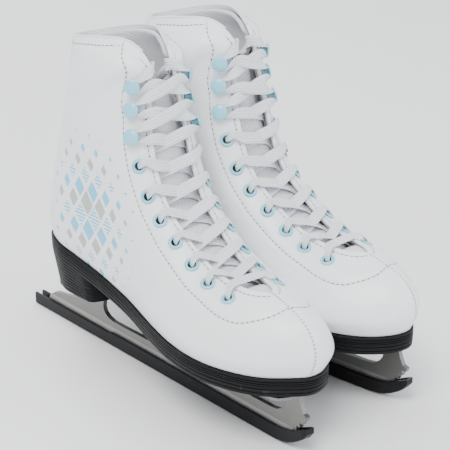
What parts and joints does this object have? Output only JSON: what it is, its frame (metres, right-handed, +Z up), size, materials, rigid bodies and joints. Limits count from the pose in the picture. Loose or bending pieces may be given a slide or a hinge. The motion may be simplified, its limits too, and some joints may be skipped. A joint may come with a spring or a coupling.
{
  "type": "pair of figure skates",
  "caption": "Pair of lace-up figure skates with printed leather-look boots, stacked heels, toe-pick blades and slide-on blade guards",
  "frame": {"origin": "centre of the pair's bounding box, on the ground under the blade guards", "axes": "+Z up, +Y toward the heels, +X from the right skate to the left skate; the toes point to -Y, each turned out 4 degrees"},
  "size_m": [0.1648, 0.3014, 0.2261],
  "materials": {
    "upper_white": "smooth white coated leather-look upper",
    "upper_print": null,
    "lining_grey": "brushed textile lining",
    "tongue_white": "padded textile tongue",
    "footbed_grey": "soft insole cover",
    "board_tan": "pressed insole board",
    "sole_black": "satin black stacked sole",
    "steel_blade": "satin grey blade steel",
    "steel_plate": "satin plate steel",
    "screw_steel": "countersunk screws",
    "hardware_blue": "light blue enamelled hooks and eyelets",
    "guard_black": "black moulded guard",
    "lace_white": "flat white woven lace"
  },
  "bodies": {
    "right_skate": {"upper_outer_right": "upper_print", "upper_inner_right": "upper_white", "eyelet_row_outer_right": "hardware_blue", "eyelet_row_inner_right": "hardware_blue", "hook_outer_1_right": "hardware_blue", "hook_outer_2_right": "hardware_blue", "hook_outer_3_right": "hardware_blue", "hook_inner_1_right": "hardware_blue", "hook_inner_2_right": "hardware_blue", "hook_inner_3_right": "hardware_blue", "lining_right": "lining_grey", "backstay_right": "upper_white", "midsole_right": "sole_black", "outsole_right": "sole_black", "insole_board_right": "board_tan", "footbed_right": "footbed_grey", "heel_stack_right": "sole_black", "runner_right": "steel_blade", "front_plate_right": "steel_plate", "heel_plate_right": "steel_plate", "screw_front_1_right": "screw_steel", "screw_front_2_right": "screw_steel", "screw_front_3_right": "screw_steel", "screw_front_4_right": "screw_steel", "screw_heel_1_right": "screw_steel", "screw_heel_2_right": "screw_steel", "lace_right": "lace_white"},
    "right_guard": {"guard_right": "guard_black"},
    "right_tongue": {"tongue_right": "tongue_white"},
    "left_skate": {"upper_outer_left": "upper_print", "upper_inner_left": "upper_white", "eyelet_row_outer_left": "hardware_blue", "eyelet_row_inner_left": "hardware_blue", "hook_outer_1_left": "hardware_blue", "hook_outer_2_left": "hardware_blue", "hook_outer_3_left": "hardware_blue", "hook_inner_1_left": "hardware_blue", "hook_inner_2_left": "hardware_blue", "hook_inner_3_left": "hardware_blue", "lining_left": "lining_grey", "backstay_left": "upper_white", "midsole_left": "sole_black", "outsole_left": "sole_black", "insole_board_left": "board_tan", "footbed_left": "footbed_grey", "heel_stack_left": "sole_black", "runner_left": "steel_blade", "front_plate_left": "steel_plate", "heel_plate_left": "steel_plate", "screw_front_1_left": "screw_steel", "screw_front_2_left": "screw_steel", "screw_front_3_left": "screw_steel", "screw_front_4_left": "screw_steel", "screw_heel_1_left": "screw_steel", "screw_heel_2_left": "screw_steel", "lace_left": "lace_white"},
    "left_guard": {"guard_left": "guard_black"},
    "left_tongue": {"tongue_left": "tongue_white"}
  },
  "joints": [
    {"name": "pair_lift", "type": "slide", "parent": "right_skate", "child": "left_skate", "axis": [0, 0, 1], "range_m": [0, 0.3]},
    {"name": "right_guard_slide", "type": "slide", "parent": "right_skate", "child": "right_guard", "axis": [-0.0698, -0.9976, 0], "range_m": [0, 0.3]},
    {"name": "right_tongue_hinge", "type": "hinge", "parent": "right_skate", "child": "right_tongue", "pos_m": [-0.0432, -0.09347, 0.084], "axis": [-0.9976, 0.0698, 0], "range_deg": [0, 5], "stiffness_Nm_per_rad": 1.5},
    {"name": "left_guard_slide", "type": "slide", "parent": "left_skate", "child": "left_guard", "axis": [0.0698, -0.9976, 0], "range_m": [0, 0.3]},
    {"name": "left_tongue_hinge", "type": "hinge", "parent": "left_skate", "child": "left_tongue", "pos_m": [0.0432, -0.08947, 0.084], "axis": [-0.9976, -0.0698, 0], "range_deg": [0, 5], "stiffness_Nm_per_rad": 1.5}
  ]
}
